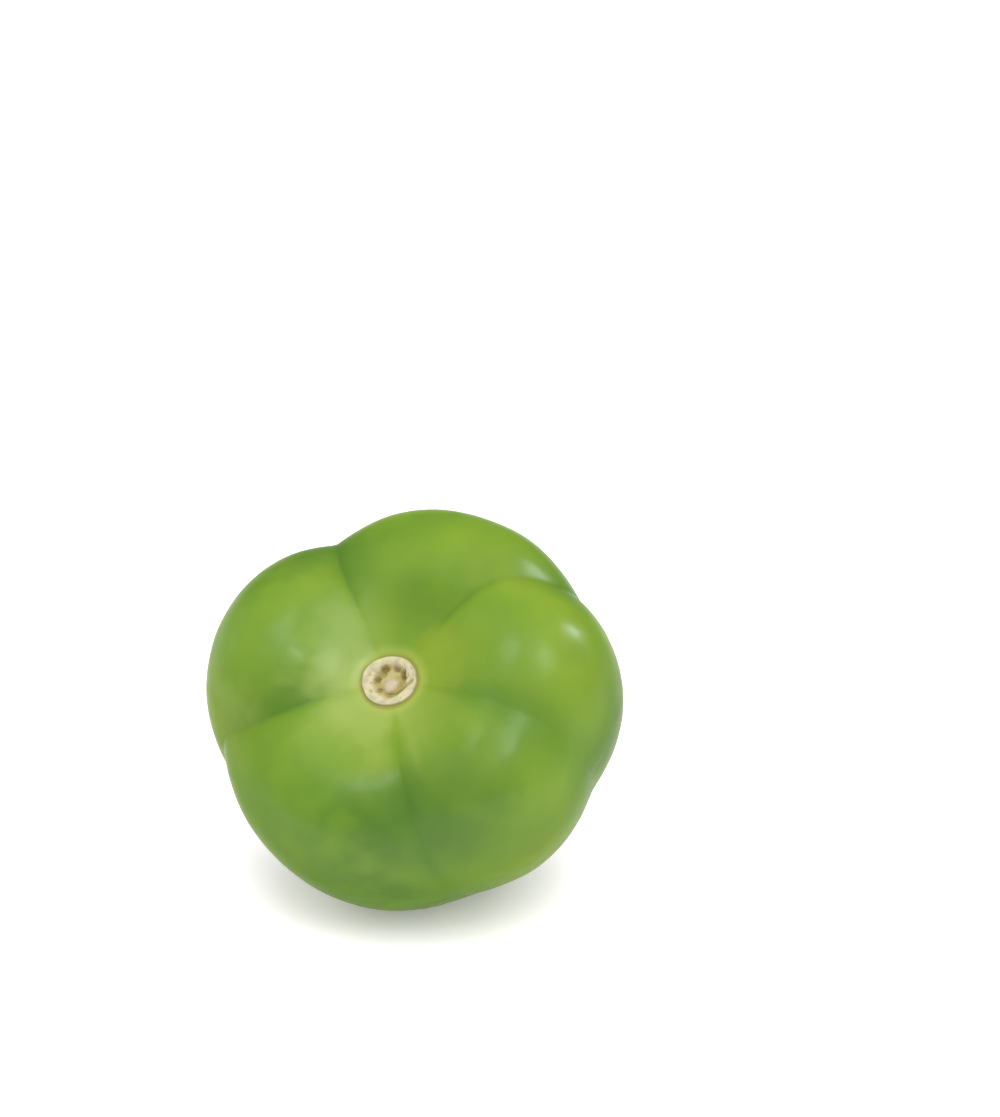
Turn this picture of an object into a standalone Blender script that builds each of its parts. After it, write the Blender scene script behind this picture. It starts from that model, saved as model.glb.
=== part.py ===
"""A husked tomatillo, lying on a table with its stem end turned up and forwards.

The fruit grew as one piece, so it is one closed solid. Its skin follows a formula in the fruit's own frame,
where the stem scar is at the top of +Z and the widest ring is at z = 0: a squat turned body, five lobes that
swell out of it between five grooves, a hollow round the stem, and a corky stem scar in the hollow. The solid
is then leant over and cut flat where it rests. Lengths are in metres and angles in degrees.
"""

import math
from collections import namedtuple

import bmesh
import bpy
from mathutils import Matrix, Vector

# The turned body, measured at the bottom of the grooves.
BODY_RADIUS = 0.0255
STEM_HEIGHT = 0.0152
BLOSSOM_HEIGHT = 0.0292
STEM_FULLNESS = 2.25
BLOSSOM_FULLNESS = 1.84

# The hollow that the stem scar sits in, and the dimple at the blossom end.
HOLLOW_DEPTH = 0.0056
HOLLOW_RADIUS = 0.0122
DIMPLE_DEPTH = 0.0008
DIMPLE_RADIUS = 0.0035

# Each lobe starts at a groove and runs anticlockwise, seen from the stem, to the next one.
# groove: the groove's angle; drift: how far it wanders by the blossom end; softness: 0 is a sharp crease.
# bulge: the lobe's height over its grooves; rise: the polar angle, in radians, over which it comes up.
Lobe = namedtuple("Lobe", "groove drift softness bulge rise")
LOBES = (
    Lobe(groove=-147, drift=14.5, softness=0.09, bulge=0.0021, rise=0.78),
    Lobe(groove=-62, drift=2, softness=0.12, bulge=0.0014, rise=0.73),
    Lobe(groove=0, drift=-5.5, softness=0.35, bulge=0.0021, rise=0.85),
    Lobe(groove=58, drift=-14, softness=0.09, bulge=0.0019, rise=1.04),
    Lobe(groove=131, drift=5, softness=0.13, bulge=0.0043, rise=0.82),
)
LOBE_ROUNDNESS = 0.83
LOBE_START = 0.18
LOBE_END_RUN = 1.53
DRIFT_START = 0.95
DRIFT_END = 2.30
FAR_SOFTNESS = 0.09
FAR_FILL = 0.17

# The stem scar: a raised cork rim round a sunken middle, with the stem's strands as pits round a core.
SCAR_RADIUS = 0.0040
RIM_RADIUS = 0.0030
RIM_WIDTH = 0.0008
RIM_HEIGHT = 0.0004
CORE_RADIUS = 0.0009
CORE_HEIGHT = 0.0003
PIT_RADIUS = 0.0018
PIT_WIDTH = 0.0006
PIT_DEPTH = 0.0004
PIT_COUNT = 6

# How the fruit lies: the stem heads towards -Y and up, and the fruit's centre stands over its flat spot.
STEM_ELEVATION = 43.5
CENTRE = Vector((0.0009, -0.0036, 0.0268))

SEGMENTS = 100
RINGS = 50
RING_CROWDING = 1.6
GROOVE_CROWDING = 0.5

SKIN_COLOUR = (0.23, 0.40, 0.05, 1.0)
CORK_COLOUR = (0.62, 0.52, 0.33, 1.0)


def smooth_step(share):
    share = min(max(share, 0.0), 1.0)
    return share * share * (3 - 2 * share)


def meridian(polar):
    """Radius and height of the turned body at a polar angle, in radians, from the stem."""
    sine, cosine = math.sin(polar), math.cos(polar)
    if cosine >= 0:
        radius = BODY_RADIUS * sine ** (2 / STEM_FULLNESS)
        hollow = HOLLOW_DEPTH * math.exp(-((radius / HOLLOW_RADIUS) ** 2))
        return radius, STEM_HEIGHT * cosine ** (2 / STEM_FULLNESS) - hollow
    radius = BODY_RADIUS * sine ** (2 / BLOSSOM_FULLNESS)
    dimple = DIMPLE_DEPTH * math.exp(-((radius / DIMPLE_RADIUS) ** 2))
    return radius, dimple - BLOSSOM_HEIGHT * (-cosine) ** (2 / BLOSSOM_FULLNESS)


def meridian_normal(polar):
    """Outward direction of the turned body there, as radial and axial shares."""
    step = 1e-4
    radius_before, height_before = meridian(max(polar - step, 0.0))
    radius_after, height_after = meridian(min(polar + step, math.pi))
    outward = Vector((height_before - height_after, radius_after - radius_before))
    return outward.normalized()


def wandering(polar):
    """Share of its drift that a groove has made at a polar angle."""
    return smooth_step((polar - DRIFT_START) / (DRIFT_END - DRIFT_START))


def lobe_height(lobe, following, across, polar):
    """How far the skin stands out of the turned body, a share of the way across a lobe."""
    far = wandering(polar)
    arch = max(math.sin(math.pi * across), 0.0) ** LOBE_ROUNDNESS
    softness = lobe.softness * (1 - across) + following.softness * across + FAR_SOFTNESS * far
    arch = (math.hypot(arch, softness) - softness) / (math.hypot(1, softness) - softness)
    arch += (1 - arch) * FAR_FILL * far
    coming_up = smooth_step((polar - LOBE_START) / lobe.rise)
    dying_away = smooth_step((math.pi - polar) / LOBE_END_RUN)
    return lobe.bulge * coming_up * dying_away * arch


def scar_relief(radius, azimuth):
    """Height of the cork at a distance from the middle of the scar, azimuth in radians."""
    rim = RIM_HEIGHT * math.exp(-(((radius - RIM_RADIUS) / RIM_WIDTH) ** 2))
    core = CORE_HEIGHT * math.exp(-((radius / CORE_RADIUS) ** 2))
    ripple = 0.5 + 0.5 * math.cos(PIT_COUNT * azimuth)
    pits = PIT_DEPTH * ripple * math.exp(-(((radius - PIT_RADIUS) / PIT_WIDTH) ** 2))
    return rim + core - pits


def skin_point(lobe, following, across, polar):
    """A point of the skin in the fruit's own frame."""
    span = (following.groove - lobe.groove) % 360
    groove_angle = lobe.groove + across * span
    drift = lobe.drift + across * (following.drift - lobe.drift)
    azimuth = math.radians(groove_angle + drift * wandering(polar))
    radius, height = meridian(polar)
    out_radius, out_height = meridian_normal(polar)
    bulge = lobe_height(lobe, following, across, polar)
    if polar < math.pi / 2:
        height += scar_relief(radius, azimuth)
    radius += out_radius * bulge
    height += out_height * bulge
    return Vector((radius * math.cos(azimuth), radius * math.sin(azimuth), height))


def lying_matrix():
    """Takes the fruit's own frame to the frame of the table."""
    lean = Matrix.Rotation(math.radians(90 - STEM_ELEVATION), 4, "X")
    return Matrix.Translation(CENTRE) @ lean


def shape_skin(mesh):
    """Turns a unit sphere into the fruit. Its rings crowd towards the stem scar, and each lobe takes an equal
    share of its segments, which crowd towards the grooves, so that every groove runs along an edge."""
    for vertex in mesh.verts:
        down = math.acos(max(-1.0, min(1.0, vertex.co.z))) / math.pi
        polar = math.pi * down**RING_CROWDING
        segment = round(math.atan2(vertex.co.y, vertex.co.x) / math.tau * SEGMENTS) % SEGMENTS
        index, step = divmod(segment, SEGMENTS // len(LOBES))
        across = step * len(LOBES) / SEGMENTS
        across -= GROOVE_CROWDING * math.sin(math.tau * across) / math.tau
        following = LOBES[(index + 1) % len(LOBES)]
        vertex.co = skin_point(LOBES[index], following, across, polar)


def mark_scar(mesh):
    """Gives the faces inside the scar the second material."""
    for face in mesh.faces:
        middle = face.calc_center_median()
        if middle.z > 0 and math.hypot(middle.x, middle.y) < SCAR_RADIUS:
            face.material_index = 1


def cut_flat_spot(mesh):
    """Cuts the solid at the table and closes it with one flat face."""
    everything = mesh.verts[:] + mesh.edges[:] + mesh.faces[:]
    cut = bmesh.ops.bisect_plane(
        mesh, geom=everything, dist=1e-7, plane_co=(0, 0, 0), plane_no=(0, 0, 1), clear_inner=True
    )
    edges = [item for item in cut["geom_cut"] if isinstance(item, bmesh.types.BMEdge)]
    bmesh.ops.contextual_create(mesh, geom=edges)
    bmesh.ops.recalc_face_normals(mesh, faces=mesh.faces)


def surface_material(name, colour, roughness):
    material = bpy.data.materials.new(name)
    material.use_nodes = True
    shader = material.node_tree.nodes["Principled BSDF"]
    shader.inputs["Base Color"].default_value = colour
    shader.inputs["Roughness"].default_value = roughness
    shader.inputs["Metallic"].default_value = 0.0
    return material


def make_fruit(collection):
    mesh = bmesh.new()
    bmesh.ops.create_uvsphere(mesh, u_segments=SEGMENTS, v_segments=RINGS, radius=1.0)
    shape_skin(mesh)
    mark_scar(mesh)
    mesh.transform(lying_matrix())
    cut_flat_spot(mesh)
    data = bpy.data.meshes.new("tomatillo")
    mesh.to_mesh(data)
    mesh.free()
    data.shade_smooth()
    data.set_sharp_from_angle(angle=math.radians(60))
    data.materials.append(surface_material("skin", SKIN_COLOUR, 0.25))
    data.materials.append(surface_material("cork", CORK_COLOUR, 0.85))
    fruit = bpy.data.objects.new("tomatillo", data)
    collection.objects.link(fruit)
    return fruit


def main():
    for leftover in list(bpy.data.objects):
        bpy.data.objects.remove(leftover)
    collection = bpy.data.collections.new("tomatillo")
    bpy.context.scene.collection.children.link(collection)
    make_fruit(collection)


main()
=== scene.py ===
"""A husked tomatillo, lying on a pale table with its stem end turned up and towards the viewer.

The skin, the corky stem scar and the dry mark at the blossom end are grown by node trees in the fruit's own
frame, where the stem scar is at the top of +Z and the widest ring is at z = 0. The same last step then leans
each of them over and sets it down on the table. Lengths are in metres. Bearings are in degrees, anticlockwise
from +X as seen from the stem. Polar angles are in radians, counted from the stem.
"""

import math
from collections import namedtuple

import bpy
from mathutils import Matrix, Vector


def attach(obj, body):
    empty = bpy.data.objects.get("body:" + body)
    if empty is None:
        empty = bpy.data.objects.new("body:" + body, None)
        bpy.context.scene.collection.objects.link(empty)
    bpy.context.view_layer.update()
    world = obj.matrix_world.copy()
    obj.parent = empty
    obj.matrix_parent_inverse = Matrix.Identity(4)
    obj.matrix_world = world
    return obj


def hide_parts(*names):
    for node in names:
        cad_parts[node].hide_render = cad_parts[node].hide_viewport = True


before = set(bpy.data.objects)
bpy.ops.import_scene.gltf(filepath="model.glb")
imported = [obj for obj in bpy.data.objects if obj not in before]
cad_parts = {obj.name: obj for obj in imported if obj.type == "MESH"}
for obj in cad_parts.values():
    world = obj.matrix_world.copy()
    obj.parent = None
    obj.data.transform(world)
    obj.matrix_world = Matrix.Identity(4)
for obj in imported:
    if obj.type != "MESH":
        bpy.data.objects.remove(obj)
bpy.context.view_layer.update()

# The turned body, measured at the bottom of the grooves.
BODY_RADIUS = 0.0255
STEM_HEIGHT = 0.0152
BLOSSOM_HEIGHT = 0.0292
STEM_FULLNESS = 2.25
BLOSSOM_FULLNESS = 1.84
HOLLOW_DEPTH = 0.0056
HOLLOW_RADIUS = 0.0122
DIMPLE_DEPTH = 0.0008
DIMPLE_RADIUS = 0.0035

# Each lobe starts at a groove and runs anticlockwise to the next one. groove: the groove's bearing; bow: how
# far it bows aside on the shoulder; drift: how far it wanders by the blossom end; begin: the polar angle at
# which it begins; near and far: its softness at the stem and by the blossom end, where 0 is a sharp crease;
# floor: how much higher its floor is past the shoulder; bulge: the lobe's height over its grooves; rise: the
# polar angle over which the lobe comes up; first and last: how much painted shade darkens the lobe beside its
# own groove and beside the next, a value below 0 being painted light that makes it lighter there.
Lobe = namedtuple("Lobe", "groove bow drift begin near far floor bulge rise first last")
LOBES = (
    Lobe(-147.0, -7.0, 14.5, 0.18, 0.08, 0.16, floor=0.0011, bulge=0.0022, rise=0.78, first=-0.1, last=0.15),
    Lobe(-62.0, 0.0, 2.0, 0.30, 0.08, 0.60, floor=0.0006, bulge=0.0014, rise=0.73, first=0.4, last=0.2),
    Lobe(-2.5, -1.5, -5.5, 0.18, 0.60, 0.50, floor=0.0004, bulge=0.0022, rise=0.85, first=0.4, last=-0.1),
    Lobe(58.0, -5.0, -14.0, 0.18, 0.10, 0.14, floor=0.0004, bulge=0.0019, rise=1.04, first=0.4, last=0.3),
    Lobe(131.0, 0.0, 5.0, 0.18, 0.10, 0.45, floor=0.0003, bulge=0.0043, rise=0.82, first=-0.3, last=0.7),
)
# What the skin takes from the groove on either side of it, the rest being the lobe's own.
AT_EACH_GROOVE = ("Groove", "Bow", "Drift", "Begin", "Near", "Far", "Floor")

# The lobes' cross-section, and the polar angles between which they drift, bow, deepen and die away.
LOBE_ROUNDNESS = 0.83
LOBE_END_RUN = 1.53
DRIFT_START = 0.95
DRIFT_END = 2.30
SHOULDER = 1.30
SHOULDER_WIDTH = 0.40
FLOOR_START = 0.80
FLOOR_END = 1.60

# The skin's mesh is crowded towards the stem and towards the grooves.
COLUMNS_PER_LOBE = 56
RINGS = 320
RING_CROWDING = 1.25
GROOVE_CROWDING = 0.5
POLAR_STEP = 0.001
WELD = 1e-6

# Masks stored on the skin, as shares of the way from one groove to the next or as polar angles.
VALLEY_EDGE = 0.7
SHADE_WIDTH = 0.34
SHADE_RUN_IN = 0.2
SHADE_FADE_START = 0.6
SHADE_FADE_END = 1.5
CREASE_WIDTH = 0.14
CREASE_RUN_IN = 0.3
CREASE_SHARPEST = 0.1
CREASE_SOFTEST = 0.5

# The skin waves and ripples a little, with so many of each to the metre.
WAVE_HEIGHT = 0.0005
WAVES = 75.0
RIPPLE_HEIGHT = 0.00012
RIPPLES = 260.0

# Where the skin swells or dips a little: the middle in the fruit's own frame, the radius and the height.
Swelling = namedtuple("Swelling", "middle radius height")
SWELLINGS = (
    Swelling((-0.0106, -0.0006, 0.0122), 0.0032, 0.0006),
    Swelling((0.0163, 0.0183, 0.0070), 0.0055, -0.0008),
    Swelling((0.0015, 0.0187, 0.0118), 0.0050, 0.0005),
    Swelling((0.0027, 0.0091, 0.0115), 0.0040, -0.0004),
    Swelling((-0.0245, -0.0076, 0.0083), 0.0070, 0.0006),
    Swelling((0.0035, 0.0261, 0.0051), 0.0070, -0.0004),
    Swelling((-0.0114, -0.0245, 0.0034), 0.0060, -0.0003),
)

# Round the scar the skin has a low lip, and under the scar it sinks out of the way of the pits.
LIP_HEIGHT = 0.00006
LIP_RADIUS = 0.0044
LIP_WIDTH = 0.0007
SINK_DEPTH = 0.0008
SINK_START = 0.0033
SINK_END = 0.0027
STEM_END_START = 1.2
STEM_END_FULL = 0.8

# The stem scar: a ring of cork round the stem's broken strands. Its lumps and grains are counted to the
# metre, and each raggedness is how far the lumps push an edge about.
SCAR_MIDDLE = (0.00006, -0.00033)
SCAR_RADIUS = 0.00385
SCAR_OVALNESS = 0.054
SCAR_CORNERS = 0.016
SCAR_CORNER_TURN = math.radians(16.0)
SCAR_WOBBLE = 0.025
SCAR_WOBBLE_LUMPS = 2.6
SCAR_LUMPS = 1400.0
SCAR_GRAINS = 5200.0
SCAR_GRAIN_HEIGHT = 0.00016
RIM_HEIGHT = 0.0004
RIM_START = 0.0019
RIM_FULL = 0.0026
RIM_RAGGEDNESS = 0.0008
CORE_PLACE = (0.00028, -0.00078)
CORE_HEIGHT = 0.0003
CORE_EDGE = 0.0013
CORE_FULL = 0.0004
CORE_RAGGEDNESS = 0.0009
STRAND_RADIUS = 0.0018
STRAND_WIDTH = 0.0005
CRACK = ((0.00154, -0.00182), (0.00320, 0.00034))
CRACK_EDGE = 0.00042
CRACK_FULL = 0.00008
CRACK_RAGGEDNESS = 0.0003
CRACK_DEPTH = 0.00018
SCAR_EDGE_DROP = 0.0002
SCAR_ROOT = 0.0009

# Each broken strand left a pit: its bearing, how far out it is, how long it is round the scar, how wide
# outwards, and how deep.
Pit = namedtuple("Pit", "bearing radius length width depth")
PITS = (
    Pit(136.0, 0.00174, 0.00066, 0.00054, 0.00036),
    Pit(160.0, 0.00132, 0.00045, 0.00040, 0.00018),
    Pit(76.0, 0.00158, 0.00062, 0.00040, 0.00024),
    Pit(29.0, 0.00184, 0.00082, 0.00050, 0.00044),
    Pit(26.0, 0.00250, 0.00040, 0.00036, 0.00012),
    Pit(191.0, 0.00178, 0.00046, 0.00052, 0.00034),
    Pit(240.0, 0.00212, 0.00038, 0.00046, 0.00022),
    Pit(290.0, 0.00220, 0.00078, 0.00034, 0.00020),
    Pit(339.0, 0.00154, 0.00060, 0.00045, 0.00012),
    Pit(22.0, 0.00080, 0.00045, 0.00040, 0.00010),
    Pit(180.0, 0.00300, 0.00040, 0.00022, 0.00014),
    Pit(228.0, 0.00299, 0.00030, 0.00026, 0.00014),
    Pit(204.0, 0.00222, 0.00024, 0.00020, 0.00012),
    Pit(38.0, 0.00320, 0.00034, 0.00026, 0.00010),
)
PIT_EDGE = 1.25
PIT_FULL = 0.35
PIT_RAGGEDNESS = 1.6
DARKEST_PIT_DEPTH = 0.00036

# The dry mark at the blossom end.
MARK_RADIUS = 0.0011
MARK_HEIGHT = 0.00022
MARK_SINK = 0.00006
MARK_ROOT = 0.0003
MARK_LUMPS = 3000.0

# How the fruit lies: how far its stem end points above level, where its own frame's origin goes, and how
# softly it presses on the table.
STEM_ELEVATION = math.radians(43.5)
CENTRE = Vector((0.0009, -0.0036, 0.0268))
REST_SOFTNESS = 0.0003

# The greens of the skin, the colours of the cork and those of the dry mark.
DEEP_GREEN = (0.079, 0.171, 0.015, 1.0)
LEAF_GREEN = (0.121, 0.217, 0.017, 1.0)
YELLOW_GREEN = (0.170, 0.248, 0.019, 1.0)
HALO_GREEN = (0.222, 0.297, 0.063, 1.0)
# The next four greens are painted: a pale painted sheen, painted light, painted shade, and painted groove
# shade.
PAINTED_SHEEN_GREEN = (0.191, 0.301, 0.089, 1.0)
PAINTED_LIGHT_GREEN = (0.215, 0.285, 0.022, 1.0)
SHADE_GREEN = (0.051, 0.120, 0.015, 1.0)
GROOVE_SHADE_GREEN = (0.053, 0.127, 0.015, 1.0)
COLLAR_GREEN = (0.267, 0.315, 0.059, 1.0)
# The brown of the scar's edge is partly its own and partly painted shade in the moat round the cork.
SCAR_EDGE_BROWN_AND_SHADE = (0.191, 0.191, 0.043, 1.0)
SPECK_GREEN = (0.191, 0.272, 0.048, 1.0)

CREAM = (0.435, 0.425, 0.239, 1.0)
PINK_CREAM = (0.463, 0.382, 0.286, 1.0)
GREY_CORK = (0.277, 0.286, 0.196, 1.0)
CORE_PINK = (0.411, 0.329, 0.239, 1.0)
YELLOW_CORK = (0.420, 0.382, 0.143, 1.0)
OCHRE = (0.315, 0.234, 0.067, 1.0)
STRAND_BROWN = (0.150, 0.100, 0.018, 1.0)
STRAND_OLIVE = (0.205, 0.180, 0.026, 1.0)
SPECK_BROWN = (0.220, 0.170, 0.120, 1.0)

MARK_BROWN = (0.062, 0.044, 0.018, 1.0)
MARK_TAN = (0.165, 0.130, 0.060, 1.0)

# Patches of painted shade and painted light, darker or lighter greens laid on the skin: the middle of
# each patch in the fruit's own frame, its radius, the green that it turns to, and how far.
PaintedPatch = namedtuple("PaintedPatch", "middle radius green strength")
PAINTED_SHADE_AND_LIGHT = (
    PaintedPatch((0.0150, -0.0125, 0.0114), 0.0075, SHADE_GREEN, 0.60),
    PaintedPatch((0.0062, -0.0208, 0.0097), 0.0048, SHADE_GREEN, 0.72),
    PaintedPatch((0.0000, 0.0110, 0.0118), 0.0045, SHADE_GREEN, 0.38),
    PaintedPatch((-0.0115, -0.0045, 0.0122), 0.0034, SHADE_GREEN, 0.30),
    PaintedPatch((0.0220, -0.0041, 0.0089), 0.0055, SHADE_GREEN, 0.25),
    PaintedPatch((0.0230, 0.0082, 0.0086), 0.0060, PAINTED_LIGHT_GREEN, 0.42),
    PaintedPatch((0.0175, 0.0158, 0.0076), 0.0042, PAINTED_LIGHT_GREEN, 0.42),
    PaintedPatch((-0.0056, 0.0050, 0.0108), 0.0050, PAINTED_LIGHT_GREEN, 0.34),
    PaintedPatch((0.0111, 0.0181, 0.0093), 0.0055, PAINTED_LIGHT_GREEN, 0.28),
    PaintedPatch((-0.0031, -0.0042, 0.0104), 0.0040, PAINTED_LIGHT_GREEN, 0.25),
    PaintedPatch((-0.0239, -0.0088, 0.0070), 0.0070, PAINTED_LIGHT_GREEN, 0.40),
    PaintedPatch((0.0213, -0.0153, -0.0057), 0.0070, PAINTED_LIGHT_GREEN, 0.35),
    PaintedPatch((-0.0172, 0.0150, 0.0096), 0.0062, SHADE_GREEN, 0.68),
    PaintedPatch((0.0176, 0.0190, 0.0040), 0.0045, SHADE_GREEN, 0.40),
    PaintedPatch((0.0263, 0.0036, -0.0040), 0.0070, SHADE_GREEN, 0.55),
    PaintedPatch((-0.0051, -0.0268, 0.0035), 0.0075, SHADE_GREEN, 0.45),
    PaintedPatch((-0.0007, 0.0229, 0.0098), 0.0045, SHADE_GREEN, 0.30),
    PaintedPatch((0.0042, -0.0115, 0.0118), 0.0028, PAINTED_LIGHT_GREEN, 0.32),
    PaintedPatch((0.0049, 0.0046, 0.0106), 0.0028, PAINTED_LIGHT_GREEN, 0.50),
    PaintedPatch((0.0034, -0.0066, 0.0111), 0.0026, PAINTED_LIGHT_GREEN, 0.30),
    PaintedPatch((-0.0077, 0.0048, 0.0115), 0.0036, PAINTED_SHEEN_GREEN, 0.45),
    PaintedPatch((-0.0068, -0.0005, 0.0108), 0.0027, PAINTED_SHEEN_GREEN, 0.50),
    PaintedPatch((-0.0040, -0.0064, 0.0110), 0.0036, HALO_GREEN, 0.62),
    PaintedPatch((-0.0249, 0.0001, 0.0113), 0.0045, PAINTED_SHEEN_GREEN, 0.30),
    PaintedPatch((0.0110, -0.0160, 0.0108), 0.0045, SHADE_GREEN, 0.25),
    PaintedPatch((0.0145, -0.0204, 0.0054), 0.0070, SHADE_GREEN, 0.22),
    PaintedPatch((0.0079, -0.0226, 0.0075), 0.0045, SHADE_GREEN, 0.28),
    PaintedPatch((0.0201, -0.0148, 0.0070), 0.0080, SHADE_GREEN, 0.14),
    PaintedPatch((0.0072, -0.0062, 0.0115), 0.0028, SHADE_GREEN, 0.22),
    PaintedPatch((0.0039, 0.0210, 0.0108), 0.0050, PAINTED_LIGHT_GREEN, 0.24),
)

# The wax's shine, how much of it is lost where the skin turns away, and one value for what can't show that.
WAX_SHINE = 0.20
WAX_SHINE_LOSS = 0.18
WAX_PLAIN_SHINE = 0.15
FLESH_GLOW = 0.15
FLESH_GLOW_COLOUR = (0.6, 1.0, 0.15)
FLESH_GLOW_DEPTH = 0.002
CORK_SHINE = 0.12

# Where the wax is rubbed dull: the middle of each place, its radius, and how dull it is.
Rubbed = namedtuple("Rubbed", "middle radius dullness")
RUBBED = (
    Rubbed((0.0034, 0.0152, 0.0124), 0.0032, 0.60),
    Rubbed((0.0061, 0.0132, 0.0120), 0.0028, 0.75),
    Rubbed((-0.0127, 0.0034, 0.0133), 0.0032, 0.60),
    Rubbed((0.0149, -0.0072, 0.0123), 0.0021, 0.60),
)

# A halo round the stem is paler on one side and yellower on another. A pale collar and a brown line edge the
# scar. The brown line is partly painted shade in the moat round the cork, and reaches further out towards
# its shaded side.
PALE_BEARING = -125.0
YELLOW_BEARING = -15.0
COLLAR_EDGE = 0.0057
COLLAR_FULL = 0.0041
COLLAR_RAGGEDNESS = 0.0003
BROWN_EDGE = 0.00425
BROWN_FULL = 0.00385
BROWN_SHIFT = 0.00010
SHADED_SIDE_BEARING = -60.0

# The photograph's view of it: where the fruit's centre falls in the picture, and its scale there.
PHOTO_WIDTH = 1000
PHOTO_HEIGHT = 1117
FRUIT_PIXEL = (415.0, 705.6)
PIXELS_PER_METRE = 7530.0
CAMERA_AZIMUTH = math.radians(27.5)
CAMERA_ELEVATION = math.radians(24.5)
CAMERA_DISTANCE = 0.70
SENSOR = 36.0

# The lights, each aimed at the fruit from a direction in the camera's axes: right, up and back. The panels
# light the surfaces softly and aren't reflected. The softboxes and the lamp are there for their glints alone.
Light = namedtuple("Light", "name direction distance size watts")
PANEL_SIZE = (1.2, 1.2)
LIGHTS = (
    Light("left softbox", (-0.38, 0.59, 0.71), 1.2, (0.15, 0.18), 3.2),
    Light("right softbox", (0.35, 0.46, 0.82), 1.2, (0.32, 0.42), 4.5),
    Light("side lamp", (0.74, 0.66, -0.12), 1.0, (0.13, 0.21), 4.6),
    Light("front panel", (0.0, 0.7, 0.7), 1.5, PANEL_SIZE, 13.5),
    Light("low front panel", (0.0, 0.12, 1.0), 1.6, PANEL_SIZE, 8.3),
    Light("front left panel", (-0.75, 0.2, 0.65), 1.5, PANEL_SIZE, 2.5),
    Light("front right panel", (0.75, 0.2, 0.65), 1.5, PANEL_SIZE, 3.7),
    Light("near right panel", (0.3, 0.46, 0.83), 1.5, PANEL_SIZE, 4.5),
    Light("left panel", (-1.0, 0.15, 0.0), 1.4, PANEL_SIZE, 2.8),
    Light("top panel", (0.0, 1.0, 0.0), 1.4, PANEL_SIZE, 7.4),
    Light("top left panel", (-0.7, 0.7, 0.15), 1.4, PANEL_SIZE, 5.7),
    Light("top right panel", (0.7, 0.7, 0.15), 1.4, PANEL_SIZE, 7.2),
)
LAMP_TINT = (0.75, 0.88, 1.0)
WHITE = (1.0, 1.0, 1.0, 1.0)
ROOM_LIGHT = 0.32
TABLE_SIZE = 6.0
TABLE_GAP = 0.00005
TABLE_WHITE = (0.97, 0.91, 0.96, 1.0)
TABLE_ROUGHNESS = 0.6
TABLE_GLOW = 0.22

NUMBER = "NodeSocketFloat"
GEOMETRY = "NodeSocketGeometry"
MATERIAL = "NodeSocketMaterial"
SOCKET_KINDS = {float: NUMBER, int: "NodeSocketInt", Vector: "NodeSocketVector"}


class Field:
    """A value that flows through a node tree, so that a formula in nodes reads as a formula."""

    def __init__(self, socket):
        self.socket = socket
        self.tree = socket.id_data

    def __add__(self, other):
        return calculate("ADD", self, other)

    def __radd__(self, other):
        return calculate("ADD", other, self)

    def __sub__(self, other):
        return calculate("SUBTRACT", self, other)

    def __rsub__(self, other):
        return calculate("SUBTRACT", other, self)

    def __mul__(self, other):
        return calculate("MULTIPLY", self, other)

    def __rmul__(self, other):
        return calculate("MULTIPLY", other, self)

    def __truediv__(self, other):
        return calculate("DIVIDE", self, other)

    def __rtruediv__(self, other):
        return calculate("DIVIDE", other, self)

    def __pow__(self, other):
        return calculate("POWER", self, other)

    def __neg__(self):
        return calculate("MULTIPLY", self, -1.0)


def plug(value, socket):
    """Links a field into a socket, or sets a plain value on it."""
    if isinstance(value, Field):
        socket.id_data.links.new(value.socket, socket)
    else:
        socket.default_value = value


def add_node(tree, kind, inputs=None, **settings):
    """A new node with its settings made and its inputs plugged, by name or by number."""
    node = tree.nodes.new(kind)
    for name, value in settings.items():
        setattr(node, name, value)
    for name, value in (inputs or {}).items():
        plug(value, node.inputs[name])
    return node


def calculate(operation, *values):
    tree = next(value.tree for value in values if isinstance(value, Field))
    node = add_node(tree, "ShaderNodeMath", dict(enumerate(values)), operation=operation)
    return Field(node.outputs[0])


def squared(value):
    return value * value


def length_of(across, along):
    return calculate("SQRT", squared(across) + squared(along))


def highest(fields):
    """The highest of several fields at each point."""
    result, *others = fields
    for other in others:
        result = calculate("MAXIMUM", result, other)
    return result


def bell(value, middle, width):
    """1 at the middle, falling away on both sides over the width."""
    return calculate("EXPONENT", -squared((value - middle) / width))


def smooth_step(value, low=0.0, high=1.0):
    """0 below low and 1 above high, eased between them. Where high is under low it falls instead."""
    inputs = {"Value": value, "From Min": low, "From Max": high}
    node = add_node(value.tree, "ShaderNodeMapRange", inputs, interpolation_type="SMOOTHSTEP")
    return Field(node.outputs[0])


def blend(share, start, end):
    return Field(add_node(share.tree, "ShaderNodeMix", {0: share, 2: start, 3: end}).outputs[0])


def blend_colour(share, start, end):
    node = add_node(share.tree, "ShaderNodeMix", {0: share, 6: start, 7: end}, data_type="RGBA")
    return Field(node.outputs[2])


def parts_of(vector):
    """The x, y and z of a vector field."""
    node = add_node(vector.tree, "ShaderNodeSeparateXYZ", {0: vector})
    return tuple(Field(socket) for socket in node.outputs)


def vector_of(tree, x, y, z):
    return Field(add_node(tree, "ShaderNodeCombineXYZ", {0: x, 1: y, 2: z}).outputs[0])


def vector_sum(first, second):
    node = add_node(first.tree, "ShaderNodeVectorMath", {0: first, 1: second}, operation="ADD")
    return Field(node.outputs[0])


def distance_between(start, end):
    node = add_node(start.tree, "ShaderNodeVectorMath", {0: start, 1: end}, operation="DISTANCE")
    return Field(node.outputs["Value"])


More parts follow.
